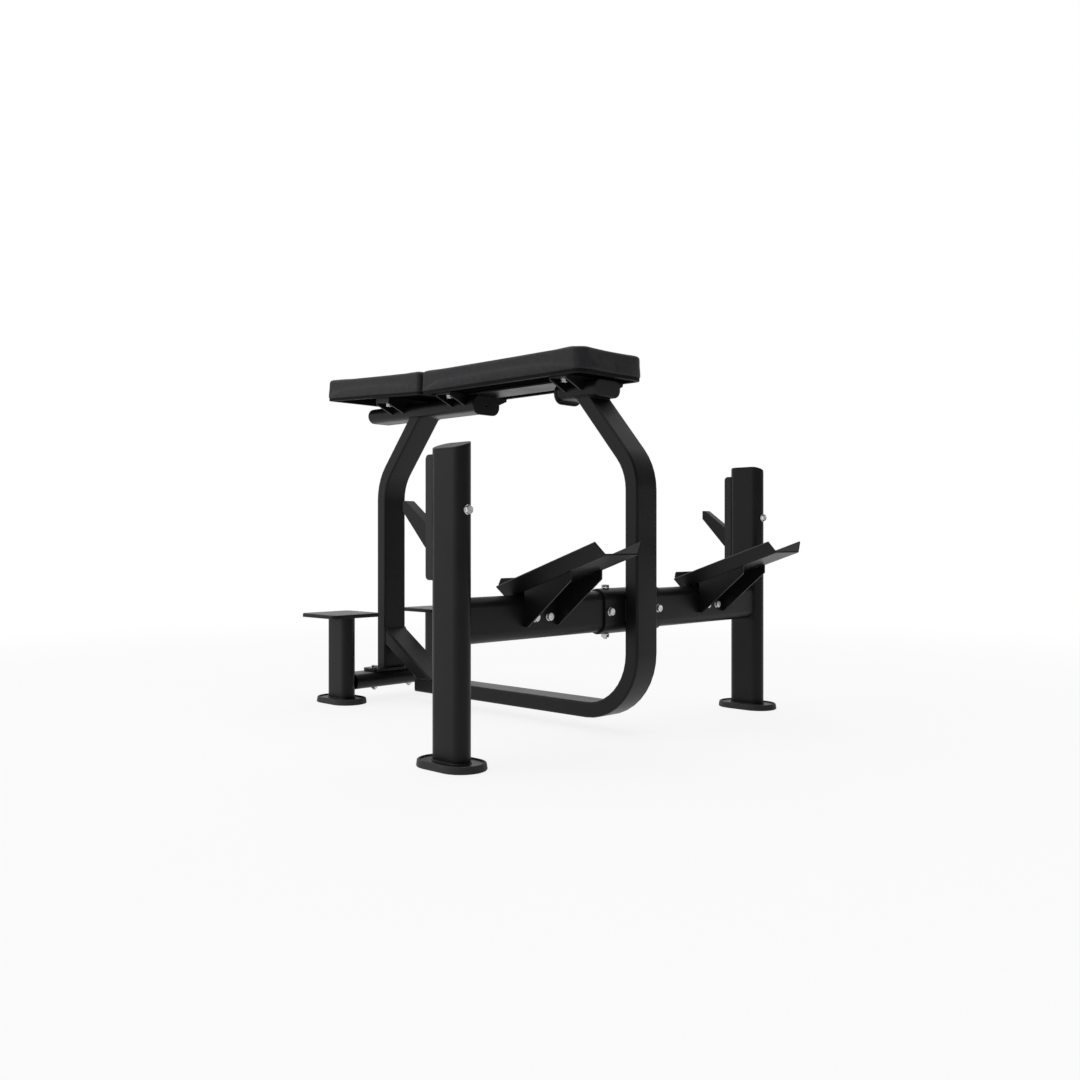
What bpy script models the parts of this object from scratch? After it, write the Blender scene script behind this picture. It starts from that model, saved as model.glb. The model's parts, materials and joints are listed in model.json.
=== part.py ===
"""Prone row bench with barbell uprights, as an assembly of bolted and welded pieces.

Units are metres and +Z is up. The bench runs along X, with its front end, where the bar is lifted,
towards +X and its steps at the rear. The two uprights stand either side of it along Y: the near side
is -Y and the far side is +Y.
Design coordinates have X = 0 on the uprights; the assembly empty then moves everything so that
the origin lies under the middle of the object's box, on the floor.
"""

import math

import bmesh
import bpy
from mathutils import Matrix, Vector

# Gap kept between pieces that touch, and running clearances
GAP = 0.0003
HOLE_CLEARANCE = 0.0006
PLUG_CLEARANCE = 0.0005
DRILL_PAST = 0.005

# Facets on round stretches
ROUND_STEPS = 12
CORNER_STEPS = 4
BEND_STEP = math.radians(9.0)
SHARP_ANGLE = math.radians(35.0)

# Flat-oval tube of the uprights, beam, rails and step posts
OVAL_LONG = 0.100
OVAL_SHORT = 0.045
OVAL_WALL = 0.003

# Rectangular tube of the bench frame: depth lies in the bend plane, width along Y
BOX_DEPTH = 0.040
BOX_WIDTH = 0.080
BOX_CORNER = 0.006
BOX_CORNER_STEPS = 3
BOX_WALL = 0.0025

# Uprights and their feet
UPRIGHT_SPACING = 1.130
UPRIGHT_TOP = 0.6825
TOP_SLANT = math.radians(18.4)
CAP_THICK = 0.003
CAP_EASE = 0.001
CAP_SKIRT = 0.018
BASE_PLATE_THICK = 0.008
BASE_PLATE_LENGTH = 0.157
BASE_PLATE_WIDTH = 0.091
FOOT_FLOOR = 0.005
FOOT_HEIGHT = 0.0165
FOOT_RIM = 0.006
FOOT_FLARE = 0.002
FOOT_EASE = 0.002

# Bar guard strip and bar hook on the rear edge of each upright
GUARD_BOTTOM = 0.395
GUARD_TOP = 0.664
GUARD_THICK = 0.0177
GUARD_WIDTH = 0.029
GUARD_WRAP = 0.004
GUARD_CORNER = 0.010
HOOK_WIDTH = 0.024
HOOK_REACH = 0.0794
HOOK_TIP_TOP = 0.567
HOOK_TIP_SIDE = 0.0236
HOOK_TIP_THICK = 0.009
HOOK_TIP_ROUND = 0.002
HOOK_SEAT = 0.517
HOOK_ROOT = 0.461
HOOK_TONGUE = 0.010
HOOK_TONGUE_INSET = 0.006
GUARD_BOLT_HEIGHT = 0.544
GUARD_BOLT_BITE = 0.0118

# Cross beam between the uprights
BEAM_HEIGHT = 0.3085
BEAM_OFFSET = 0.0125

# Saddle clamp that joins the bench frame to the beam
SADDLE_WIDTH = 0.222
SADDLE_THICK = 0.005
SADDLE_WRAP = math.radians(125.0)
SADDLE_FACE_BOLT_Y = 0.0935
SADDLE_CROWN_BOLT_Y = 0.080

# Dumbbell trays and their brackets
TRAY_SPACING = 0.660
TRAY_WIDTH = 0.108
TRAY_LENGTH = 0.308
TRAY_SLOPE = math.radians(18.9)
TRAY_SHEET = 0.004
TRAY_OVERHANG = 0.026
LIP_OUT = 0.024
LIP_UP = 0.028
FLAP_LENGTH = 0.050
FLAP_ANGLE = math.radians(106.0)
FLAP_CHAMFER = 0.014
TRAY_BRACKET_WIDTH = 0.104
TRAY_BRACKET_REACH = 0.138
TRAY_BRACKET_NOSE = 0.020
TRAY_BRACKET_FOOT = 0.040
TRAY_BRACKET_TOE = 0.010
TRAY_BRACKET_BASE = 0.052
TRAY_BOLT_PITCH = 0.045

# Bench frame
LOWER_TUBE_HEIGHT = 0.052
LOWER_BEND = 0.150
KNEE_DROP = 0.2374
KNEE_BEND = 0.140
KNEE_ANGLE = math.radians(40.0)
REAR_TUBE_SETBACK = 0.2925
BRACE_TOP = 0.211
BRACE_ANGLE = math.radians(32.5)
BRACE_MARGIN = 0.0005
PLUG_RIM = 0.004
PLUG_EASE = 0.002
PLUG_DEPTH = 0.018

# Base cross tube, flange and steps at the rear end
STEP_OFFSET = 0.0015
STEP_SPACING = 0.374
STEP_TOP = 0.2645
STEP_PLATE = 0.173
STEP_PLATE_THICK = 0.011
STEP_EASE = 0.0022
STEP_CORNER = 0.018
BASE_TUBE_HEIGHT = 0.060
FLANGE_LENGTH = 0.170
FLANGE_WIDTH = 0.072
FLANGE_THICK = 0.008
FLANGE_CORNER = 0.012
FLANGE_BOLT_Y = 0.067

# Pads and what carries them
BENCH_HEIGHT = 0.958
PAD_WIDTH = 0.256
PAD_THICK = 0.065
PAD_BOARD = 0.015
PAD_BAND = 0.0065
PAD_JOINT = 0.006
BOARD_INSET = 0.004
LONG_PAD_END = -0.025
LONG_PAD_LENGTH = 0.606
LONG_PAD_FRONT_CORNER = 0.033
SHORT_PAD_LENGTH = 0.448
PAD_CORNER = 0.014
SHORT_PAD_TILT = math.radians(2.6)
SHORT_PAD_LIFT = 0.001
CUSHION_EDGE = 0.011
CUSHION_LEAST_CORNER = 0.0035
CUSHION_CROWN = 0.003
CUSHION_DRAW_IN = 0.0015
CUSHION_SIDE_POINTS = 9
CUSHION_EDGE_STEPS = 4
CUSHION_CROWN_STEPS = 4
REAR_RAIL_LENGTH = 0.4725
REAR_RAIL_PAST_BRACKET = 0.0545
FRONT_RAIL_LENGTH = 0.130
FRONT_RAIL_INSET = 0.025
END_PLATE_THICK = 0.006
END_PLATE_WIDTH = 0.101
END_PLATE_DROP = 0.009
END_PLATE_CORNER = 0.026
END_PLATE_HOLE = 0.003
BRACKET_SHEET = 0.006
BRACKET_LENGTH = 0.060
BRACKET_WIDTH = 0.220
BRACKET_LIP = 0.010
BRACKET_SIDE = 0.005
BRACKET_EASE = 0.0005
BRACKET_HANG = math.radians(-12.0)
BRACKET_BOLT_Y = 0.085
SHORT_BRACKET_INSET = 0.189
REAR_BRACKET_INSET = 0.077
FRONT_BRACKET_INSET = 0.092
PAD_BOLT_COVER = 0.005
TIE_WIDTH = 0.100
TIE_CLEARANCE = 0.002

# Fasteners: radius of the shank, hexagon and washer
BOLT_RADIUS = 0.005
HEX_RADIUS = 0.0098
HEX_HEIGHT = 0.0064
WASHER_RADIUS = 0.0105
WASHER_THICK = 0.002
BOLT_TAIL = 0.004
BOLT_SIDES = 12

# Places worked out from the sizes above
PAD_BASE = BENCH_HEIGHT - PAD_THICK
SHEET_TOP = PAD_BASE - GAP
SHEET_BOTTOM = SHEET_TOP - BRACKET_SHEET
RAIL_TOP = SHEET_BOTTOM - GAP
RAIL_HEIGHT = RAIL_TOP - OVAL_SHORT / 2
RAIL_BOTTOM = RAIL_TOP - OVAL_SHORT
OVAL_RADIUS = OVAL_SHORT / 2
OVAL_FLAT = (OVAL_LONG - OVAL_SHORT) / 2
BEAM_FACE = BEAM_OFFSET + OVAL_RADIUS
BEAM_CROWN = BEAM_HEIGHT + OVAL_LONG / 2
SADDLE_FACE = BEAM_FACE + GAP + SADDLE_THICK
FRAME_TUBE_X = SADDLE_FACE + GAP + BOX_DEPTH / 2
LOWER_TUBE_TOP = LOWER_TUBE_HEIGHT + BOX_DEPTH / 2
BASE_PLATE_BOTTOM = FOOT_FLOOR + GAP
BASE_PLATE_TOP = BASE_PLATE_BOTTOM + BASE_PLATE_THICK
BASE_TUBE_TOP = BASE_TUBE_HEIGHT + OVAL_RADIUS
FLANGE_BOTTOM = BASE_TUBE_TOP + GAP
FLANGE_TOP = FLANGE_BOTTOM + FLANGE_THICK
POST_EDGE = -OVAL_LONG / 2 - GAP
GUARD_FACE = POST_EDGE - GUARD_THICK
GUARD_BACK = POST_EDGE + GUARD_WRAP
HOOK_BACK = GUARD_FACE - GAP
LONG_PAD_START = LONG_PAD_END - LONG_PAD_LENGTH
SHORT_PAD_END = LONG_PAD_START - PAD_JOINT
SHORT_PAD_BASE = PAD_BASE + SHORT_PAD_LIFT
SHORT_BRACKET_X = SHORT_PAD_END - SHORT_BRACKET_INSET
REAR_BRACKET_X = LONG_PAD_START + REAR_BRACKET_INSET
FRONT_BRACKET_X = LONG_PAD_END - FRONT_BRACKET_INSET
REAR_RAIL_END = REAR_BRACKET_X + REAR_RAIL_PAST_BRACKET
REAR_RAIL_START = REAR_RAIL_END - REAR_RAIL_LENGTH
FRONT_RAIL_END = LONG_PAD_END - FRONT_RAIL_INSET
FRONT_RAIL_START = FRONT_RAIL_END - FRONT_RAIL_LENGTH
KNEE_HEIGHT = RAIL_BOTTOM - KNEE_DROP
REAR_TUBE_X = LONG_PAD_START - REAR_TUBE_SETBACK
REAR_TUBE_FACE = REAR_TUBE_X + BOX_DEPTH / 2 + GAP
STEP_X = REAR_TUBE_X + STEP_OFFSET
BRACE_MIDDLE = BRACE_TOP - BOX_DEPTH / 2 / math.cos(BRACE_ANGLE)
BRACE_DROP = BRACE_MIDDLE - LOWER_TUBE_TOP
BRACE_LANDING = REAR_TUBE_FACE + BRACE_DROP / math.tan(BRACE_ANGLE)
LOWER_TUBE_END = BRACE_LANDING - BOX_DEPTH / 2 / math.sin(BRACE_ANGLE) - BRACE_MARGIN

PARENT = None
MATERIALS = {}


def clear_scene():
    """Removes every object that the scene holds."""
    for obj in list(bpy.data.objects):
        bpy.data.objects.remove(obj, do_unlink=True)


def make_materials():
    """The finishes of the pieces: colour, roughness and metallic value."""
    finishes = {
        "black_powder_coat": ((0.022, 0.022, 0.023), 0.38, 0.0),
        "black_rubber": ((0.020, 0.020, 0.020), 0.70, 0.0),
        "black_plastic": ((0.020, 0.020, 0.021), 0.45, 0.0),
        "black_vinyl": ((0.032, 0.032, 0.036), 0.50, 0.0),
        "pad_base": ((0.015, 0.015, 0.016), 0.75, 0.0),
        "zinc_steel": ((0.62, 0.62, 0.63), 0.30, 1.0),
    }
    for name, (colour, roughness, metallic) in finishes.items():
        material = bpy.data.materials.new(name)
        material.use_nodes = True
        shader = material.node_tree.nodes["Principled BSDF"]
        shader.inputs["Base Color"].default_value = (*colour, 1.0)
        shader.inputs["Roughness"].default_value = roughness
        shader.inputs["Metallic"].default_value = metallic
        MATERIALS[name] = material


def arc(centre, radius, start, end, steps):
    """Points on an arc in a plane, both ends included."""
    turn = (end - start) / steps
    angles = [start + turn * i for i in range(steps + 1)]
    return [(centre[0] + radius * math.cos(a), centre[1] + radius * math.sin(a)) for a in angles]


def oval(length, width):
    """Flat-oval outline with its long axis along the first coordinate."""
    radius = width / 2
    flat = (length - width) / 2
    right = arc((flat, 0), radius, -math.pi / 2, math.pi / 2, ROUND_STEPS)
    left = arc((-flat, 0), radius, math.pi / 2, 3 * math.pi / 2, ROUND_STEPS)
    return right + left


def oval_section(inset=0.0):
    """Section of the flat-oval tube, pulled in all round by an inset."""
    return oval(OVAL_LONG - 2 * inset, OVAL_SHORT - 2 * inset)


def rounded(corners, steps=CORNER_STEPS):
    """Outline with rounded corners, from (first, second, radius) corners in order."""
    outline = []
    for i, (a, b, radius) in enumerate(corners):
        corner = Vector((a, b))
        if radius == 0:
            outline.append((a, b))
            continue
        before = (Vector(corners[i - 1][:2]) - corner).normalized()
        after = (Vector(corners[(i + 1) % len(corners)][:2]) - corner).normalized()
        half = before.angle(after) / 2
        centre = corner + (before + after).normalized() * radius / math.sin(half)
        begin = corner + before * radius / math.tan(half) - centre
        finish = corner + after * radius / math.tan(half) - centre
        turn = begin.angle_signed(finish)
        start = math.atan2(begin.y, begin.x)
        outline += arc(centre, radius, start, start - turn, steps)
    return outline


def rectangle(length, width, radius, steps=CORNER_STEPS):
    """Rectangle about the origin with rounded corners."""
    a = length / 2
    b = width / 2
    return rounded([(-a, -b, radius), (a, -b, radius), (a, b, radius), (-a, b, radius)], steps)


def plug_section(inset=0.0):
    """Section of the box tube seen along X, pulled in all round by an inset."""
    return rectangle(BOX_WIDTH - 2 * inset, BOX_DEPTH - 2 * inset, BOX_CORNER - inset)


def in_xy(outline, z, x=0.0, y=0.0, slope=0.0):
    return [(x + a, y + b, z + slope * b) for a, b in outline]


def in_xz(outline, y):
    return [(a, y, b) for a, b in outline]


def in_yz(outline, x, y=0.0, z=0.0):
    return [(x, y + a, z + b) for a, b in outline]


def add_object(name, points, faces, material):
    """A mesh object about its own middle, with its faces pointing out, parented to the assembly."""
    points = [Vector(p) for p in points]
    middle = sum(points, Vector()) / len(points)
    mesh = bpy.data.meshes.new(name)
    mesh.from_pydata([p - middle for p in points], [], faces)
    work = bmesh.new()
    work.from_mesh(mesh)
    bmesh.ops.recalc_face_normals(work, faces=work.faces)
    work.to_mesh(mesh)
    work.free()
    mesh.materials.append(MATERIALS[material])
    mesh.shade_smooth()
    mesh.set_sharp_from_angle(angle=SHARP_ANGLE)
    obj = bpy.data.objects.new(name, mesh)
    obj.location = middle
    bpy.context.scene.collection.objects.link(obj)
    obj.parent = PARENT
    return obj


def loft(name, rings, material, closed=False):
    """A solid through rings of points; a closed loft joins its last ring to its first."""
    count = len(rings[0])
    points = [p for ring in rings for p in ring]
    faces = []
    last = len(rings) if closed else len(rings) - 1
    for i in range(last):
        low = i * count
        high = ((i + 1) % len(rings)) * count
        for j in range(count):
            k = (j + 1) % count
            faces.append((low + j, low + k, high + k, high + j))
    if not closed:
        faces.append(tuple(range(count)))
        faces.append(tuple(range(len(points) - count, len(points))))
    return add_object(name, points, faces, material)


def tube(name, outer, inner, place, start, end, material):
    """A straight tube, open at both ends; place puts an outline at a distance along the tube."""
    rings = [place(outer, start), place(outer, end), place(inner, end), place(inner, start)]
    return loft(name, rings, material, closed=True)


def combine(target, other, operation):
    """Adds a Boolean that joins or cuts the target with a helper object."""
    other.hide_render = True
    other.display_type = "WIRE"
    modifier = target.modifiers.new(other.name, "BOOLEAN")
    modifier.operation = operation
    modifier.object = other
    modifier.solver = "EXACT"


def aligned(point, direction):
    """Matrix that takes the local Z axis to a direction from a point."""
    return Matrix.Translation(point) @ Vector(direction).to_track_quat("Z", "Y").to_matrix().to_4x4()


def polygon(radius, hexagon):
    """Circle, or hexagon with a point in the middle of each side."""
    points = []
    for i in range(BOLT_SIDES):
        angle = 2 * math.pi * (i + 0.5) / BOLT_SIDES
        shrink = math.cos(math.pi / 6) if hexagon and i % 2 else 1.0
        points.append((radius * shrink * math.cos(angle), radius * shrink * math.sin(angle)))
    return points


def stepped_pin(name, levels, point, direction, material):
    """A pin of stacked round and hexagonal stretches along a direction."""
    matrix = aligned(point, direction)
    rings = []
    for z, radius, hexagon in levels:
        rings.append([matrix @ Vector(p) for p in in_xy(polygon(radius, hexagon), z)])
    return loft(name, rings, material)


def drill(target, name, point, direction, depth, radius=BOLT_RADIUS + HOLE_CLEARANCE):
    """Cuts a round hole from just outside a point to a depth against a direction."""
    levels = [(DRILL_PAST, radius, False), (-depth, radius, False)]
    combine(target, stepped_pin(name, levels, point, direction, "zinc_steel"), "DIFFERENCE")


def head_levels():
    """Hexagon head and washer above a seat at zero, from the top down."""
    top = WASHER_THICK + HEX_HEIGHT
    return [
        (top, HEX_RADIUS, True),
        (WASHER_THICK, HEX_RADIUS, True),
        (WASHER_THICK, WASHER_RADIUS, False),
        (0.0, WASHER_RADIUS, False),
        (0.0, BOLT_RADIUS, False),
    ]


def screw(name, point, direction, reach):
    """Hexagon screw whose washer seats at a point, with its shank running back by its reach."""
    levels = head_levels() + [(-reach, BOLT_RADIUS, False)]
    return stepped_pin(name, levels, point, direction, "zinc_steel")


def bolt(name, point, direction, grip):
    """Hexagon bolt through a grip, with a washer and nut on its far side."""
    nut = -grip - WASHER_THICK
    levels = head_levels() + [
        (-grip, BOLT_RADIUS, False),
        (-grip, WASHER_RADIUS, False),
        (nut, WASHER_RADIUS, False),
        (nut, HEX_RADIUS, True),
        (nut - HEX_HEIGHT, HEX_RADIUS, True),
        (nut - HEX_HEIGHT, BOLT_RADIUS, False),
        (nut - HEX_HEIGHT - BOLT_TAIL, BOLT_RADIUS, False),
    ]
    return stepped_pin(name, levels, point, direction, "zinc_steel")


def post_rings(x, y, top, slope=0.0):
    """Base plate and tube of a post as one weldment, open at the top."""
    outer = oval_section()
    inner = oval_section(OVAL_WALL)
    plate = oval(BASE_PLATE_LENGTH, BASE_PLATE_WIDTH)
    return [
        in_xy(plate, BASE_PLATE_BOTTOM, x, y),
        in_xy(plate, BASE_PLATE_TOP, x, y),
        in_xy(outer, BASE_PLATE_TOP, x, y),
        in_xy(outer, top, x, y, slope),
        in_xy(inner, top, x, y, slope),
        in_xy(inner, BASE_PLATE_TOP, x, y),
    ]


def make_foot(name, x, y):
    """Rubber boot that the base plate drops into, a little wider at the floor."""
    length = BASE_PLATE_LENGTH + 2 * PLUG_CLEARANCE
    width = BASE_PLATE_WIDTH + 2 * PLUG_CLEARANCE
    rim = 2 * FOOT_RIM
    flare = 2 * (FOOT_RIM + FOOT_FLARE)
    ease = FOOT_EASE
    rings = [
        in_xy(oval(length + flare - 2 * ease, width + flare - 2 * ease), 0.0, x, y),
        in_xy(oval(length + flare, width + flare), ease, x, y),
        in_xy(oval(length + rim, width + rim), FOOT_HEIGHT - ease, x, y),
        in_xy(oval(length + rim - 2 * ease, width + rim - 2 * ease), FOOT_HEIGHT, x, y),
        in_xy(oval(length, width), FOOT_HEIGHT, x, y),
        in_xy(oval(length, width), FOOT_FLOOR, x, y),
    ]
    return loft(name, rings, "black_rubber")


def make_cap(name, y, slope):
    """Slanted cap of an upright, with a skirt that pushes into the tube."""
    skirt = oval_section(OVAL_WALL + PLUG_CLEARANCE)
    seat = UPRIGHT_TOP - CAP_THICK
    rings = [
        in_xy(skirt, seat - CAP_SKIRT, 0.0, y, slope),
        in_xy(skirt, seat, 0.0, y, slope),
        in_xy(oval_section(), seat, 0.0, y, slope),
        in_xy(oval_section(), UPRIGHT_TOP - CAP_EASE, 0.0, y, slope),
        in_xy(oval_section(CAP_EASE), UPRIGHT_TOP, 0.0, y, slope),
    ]
    return loft(name, rings, "black_plastic")


def make_upright(side, sign):
    """Upright with its foot, cap, guard, hook and guard bolt."""
    y = sign * UPRIGHT_SPACING / 2
    slope = -sign * math.tan(TOP_SLANT)
    tube_top = UPRIGHT_TOP - CAP_THICK - GAP / math.cos(TOP_SLANT)
    upright = loft(f"{side}_upright", post_rings(0.0, y, tube_top, slope), "black_powder_coat")
    make_foot(f"{side}_upright_foot", 0.0, y)
    make_cap(f"{side}_upright_cap", y, slope)
    guard = make_guard(side, y)
    make_hook(side, y, guard)

    seat = Vector((OVAL_LONG / 2 + GAP, y, GUARD_BOLT_HEIGHT))
    along = (1.0, 0.0, 0.0)
    reach = OVAL_LONG + GUARD_BOLT_BITE
    screw(f"{side}_guard_bolt", seat, along, reach)
    depth = reach + HOLE_CLEARANCE
    drill(upright, f"{side}_upright_hole", seat, along, depth)
    drill(guard, f"{side}_guard_hole", seat, along, depth)


def make_guard(side, y):
    """Guard strip on the upright's edge, hollowed at the back to sit round the tube."""
    outline = rounded([
        (GUARD_BACK, GUARD_BOTTOM, 0),
        (GUARD_BACK, GUARD_TOP, 0),
        (GUARD_FACE, GUARD_TOP, GUARD_CORNER),
        (GUARD_FACE, GUARD_BOTTOM, GUARD_CORNER),
    ])
    edges = (y - GUARD_WIDTH / 2, y + GUARD_WIDTH / 2)
    guard = loft(f"{side}_bar_guard", [in_xz(outline, e) for e in edges], "black_plastic")
    hollow = oval_section(-GAP)
    levels = (GUARD_BOTTOM - GUARD_THICK, GUARD_TOP + GUARD_THICK)
    helper = loft(f"{side}_guard_hollow", [in_xy(hollow, z, 0.0, y) for z in levels], "black_plastic")
    combine(guard, helper, "DIFFERENCE")
    return guard


def make_hook(side, y, guard):
    """Bar hook with a tongue that passes through the guard to the upright."""
    tip = HOOK_BACK - HOOK_REACH
    outline = rounded([
        (HOOK_BACK, HOOK_ROOT, 0),
        (HOOK_BACK, HOOK_SEAT, 0),
        (tip + HOOK_TIP_THICK, HOOK_TIP_TOP, HOOK_TIP_ROUND),
        (tip, HOOK_TIP_TOP, HOOK_TIP_ROUND),
        (tip, HOOK_TIP_TOP - HOOK_TIP_SIDE, HOOK_TIP_ROUND),
    ])
    half = HOOK_WIDTH / 2
    hook = loft(f"{side}_bar_hook", [in_xz(outline, e) for e in (y - half, y + half)], "black_powder_coat")
    bottom = HOOK_ROOT + HOOK_TONGUE_INSET
    top = HOOK_SEAT - HOOK_TONGUE_INSET
    root = HOOK_BACK - HOOK_TONGUE_INSET
    tongue = [(root, bottom), (POST_EDGE, bottom), (POST_EDGE, top), (root, top)]
    half = HOOK_TONGUE / 2
    rings = [in_xz(tongue, e) for e in (y - half, y + half)]
    combine(hook, loft(f"{side}_hook_tongue", rings, "black_powder_coat"), "UNION")
    slot = [(root, bottom - GAP), (GUARD_BACK, bottom - GAP), (GUARD_BACK, top + GAP), (root, top + GAP)]
    half += GAP
    rings = [in_xz(slot, e) for e in (y - half, y + half)]
    combine(guard, loft(f"{side}_guard_slot", rings, "black_plastic"), "DIFFERENCE")


def side_of_post(x):
    """How far a post's flank stands off its middle at an X from that middle, with the gap added."""
    beyond = max(0.0, abs(x) - OVAL_FLAT)
    return math.sqrt((OVAL_RADIUS + GAP) ** 2 - beyond ** 2)


def make_beam():
    """Oval beam on edge between the uprights, its ends shaped to them."""
    outer = [(b, a) for a, b in oval_section()]
    inner = [(b, a) for a, b in oval_section(OVAL_WALL)]

    def place(outline, sign):
        points = [(BEAM_OFFSET + a, BEAM_HEIGHT + b) for a, b in outline]
        return [(x, sign * (UPRIGHT_SPACING / 2 - side_of_post(x)), z) for x, z in points]

    return tube("cross_beam", outer, inner, place, -1, 1, "black_powder_coat")


def wrap_outline(radius):
    """Half of the beam's section seen along Y, from its crown round its face to its keel."""
    upper = (BEAM_OFFSET, BEAM_HEIGHT + OVAL_FLAT)
    lower = (BEAM_OFFSET, BEAM_HEIGHT - OVAL_FLAT)
    crown = arc(upper, radius, SADDLE_WRAP, 0, ROUND_STEPS)
    keel = arc(lower, radius, 0, -SADDLE_WRAP, ROUND_STEPS)
    return crown + keel


def make_saddle(beam):
    """Clamp shell round the beam's face, with face bolts and crown bolts through the beam."""
    inside = wrap_outline(OVAL_RADIUS + GAP)
    outside = wrap_outline(OVAL_RADIUS + GAP + SADDLE_THICK)
    outline = outside + inside[::-1]
    edges = (-SADDLE_WIDTH / 2, SADDLE_WIDTH / 2)
    saddle = loft("beam_saddle", [in_xz(outline, e) for e in edges], "black_powder_coat")
    face_grip = OVAL_SHORT + 3 * GAP + SADDLE_THICK
    crown_grip = OVAL_LONG + 4 * GAP + 2 * SADDLE_THICK
    for side, sign in (("near", -1), ("far", 1)):
        face_seat = Vector((SADDLE_FACE + GAP, sign * SADDLE_FACE_BOLT_Y, BEAM_HEIGHT))
        across = (1.0, 0.0, 0.0)
        bolt(f"{side}_saddle_face_bolt", face_seat, across, face_grip)
        crown_top = BEAM_CROWN + 2 * GAP + SADDLE_THICK
        crown_seat = Vector((BEAM_OFFSET, sign * SADDLE_CROWN_BOLT_Y, crown_top))
        upward = (0.0, 0.0, 1.0)
        bolt(f"{side}_saddle_crown_bolt", crown_seat, upward, crown_grip)
        for piece in (beam, saddle):
            hole = f"{piece.name}_{side}_saddle_hole"
            drill(piece, f"{hole}_face", face_seat, across, 2 * face_grip)
            drill(piece, f"{hole}_crown", crown_seat, upward, 2 * crown_grip)


def tray_matrix(y):
    """Frame of a tray: X up the slope from its low fold, Y across it, Z off its underside.

    The underside lies a gap above the beam's rounded crown, at the point where it is tangent to it."""
    reach = OVAL_RADIUS + GAP
    crown = Vector((BEAM_OFFSET, 0.0, BEAM_HEIGHT + OVAL_FLAT))
    touch = crown + reach * Vector((-math.sin(TRAY_SLOPE), 0.0, math.cos(TRAY_SLOPE)))
    slide = TRAY_OVERHANG * Vector((math.cos(TRAY_SLOPE), 0.0, math.sin(TRAY_SLOPE)))
    return Matrix.Translation(touch - slide + Vector((0.0, y, 0.0))) @ Matrix.Rotation(-TRAY_SLOPE, 4, "Y")


def tray_end():
    """X of the tray's furthest corner, the underside edge of its upper end."""
    return (tray_matrix(0.0) @ Vector((TRAY_LENGTH, 0.0, 0.0))).x


def make_tray(side, sign, beam):
    """Folded sheet tray with flared lips and an end flap, on a U bracket bolted to the beam."""
    y = sign * TRAY_SPACING / 2
    matrix = tray_matrix(y)
    half = TRAY_WIDTH / 2
    shift = TRAY_SHEET * math.tan(math.atan2(LIP_UP, LIP_OUT) / 2)
    lean = math.hypot(LIP_OUT, LIP_UP)
    rise_y = -TRAY_SHEET * LIP_UP / lean
    rise_z = TRAY_SHEET * LIP_OUT / lean
    right = [
        (half, 0.0),
        (half + LIP_OUT, LIP_UP),
        (half + LIP_OUT + rise_y, LIP_UP + rise_z),
        (half - shift, TRAY_SHEET),
    ]
    left = [(-a, b) for a, b in right[::-1]]
    section = right + left
    rings = [[matrix @ Vector(p) for p in in_yz(section, s)] for s in (0.0, TRAY_LENGTH)]
    tray = loft(f"{side}_tray", rings, "black_powder_coat")

    flap_half = half - TRAY_SHEET
    flap_outline = [
        (-TRAY_SHEET, -flap_half),
        (FLAP_LENGTH - FLAP_CHAMFER, -half - FLAP_CHAMFER / 2),
        (FLAP_LENGTH, -half + FLAP_CHAMFER / 2),
        (FLAP_LENGTH, half - FLAP_CHAMFER / 2),
        (FLAP_LENGTH - FLAP_CHAMFER, half + FLAP_CHAMFER / 2),
        (-TRAY_SHEET, flap_half),
    ]
    crease = Matrix.Translation((TRAY_SHEET, 0.0, TRAY_SHEET / 2))
    fold = matrix @ crease @ Matrix.Rotation(-FLAP_ANGLE, 4, "Y")
    flap_faces = (-TRAY_SHEET / 2, TRAY_SHEET / 2)
    rings = [[fold @ Vector(p) for p in in_xy(flap_outline, z)] for z in flap_faces]
    combine(tray, loft(f"{side}_tray_flap", rings, "black_powder_coat"), "UNION")
    make_tray_bracket(side, y, beam)


def make_tray_bracket(side, y, beam):
    """U bracket: a web bolted to the beam's face and two gussets under the tray."""
    back = BEAM_FACE + GAP
    nose = back + TRAY_BRACKET_REACH
    slope = math.tan(TRAY_SLOPE)
    base = tray_matrix(0.0).translation

    def under(x):
        return base.z + (x - base.x) * slope - GAP / math.cos(TRAY_SLOPE)

    foot = BEAM_HEIGHT - TRAY_BRACKET_FOOT / 2
    gusset = [
        (back, foot),
        (back + TRAY_BRACKET_TOE, foot),
        (nose, under(nose) - TRAY_BRACKET_NOSE),
        (nose, under(nose)),
        (back, under(back)),
    ]
    half = TRAY_BRACKET_WIDTH / 2
    web_outline = [
        (back, foot),
        (back + TRAY_SHEET, foot),
        (back + TRAY_SHEET, foot + TRAY_BRACKET_BASE),
        (back, foot + TRAY_BRACKET_BASE),
    ]
    web_edges = (y - half + TRAY_SHEET / 2, y + half - TRAY_SHEET / 2)
    name = f"{side}_tray_bracket"
    bracket = loft(name, [in_xz(web_outline, e) for e in web_edges], "black_powder_coat")
    for label, inner in (("left", y - half), ("right", y + half - TRAY_SHEET)):
        rings = [in_xz(gusset, inner), in_xz(gusset, inner + TRAY_SHEET)]
        combine(bracket, loft(f"{name}_{label}_gusset", rings, "black_powder_coat"), "UNION")
    grip = OVAL_SHORT + 3 * GAP + TRAY_SHEET
    across = (1.0, 0.0, 0.0)
    for label, sign in (("a", -1), ("b", 1)):
        seat = Vector((back + TRAY_SHEET + GAP, y + sign * TRAY_BOLT_PITCH / 2, BEAM_HEIGHT))
        bolt(f"{side}_tray_bolt_{label}", seat, across, grip)
        drill(beam, f"beam_{side}_tray_hole_{label}", seat, across, 2 * grip)
        drill(bracket, f"{name}_hole_{label}", seat, across, 2 * grip)


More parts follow.
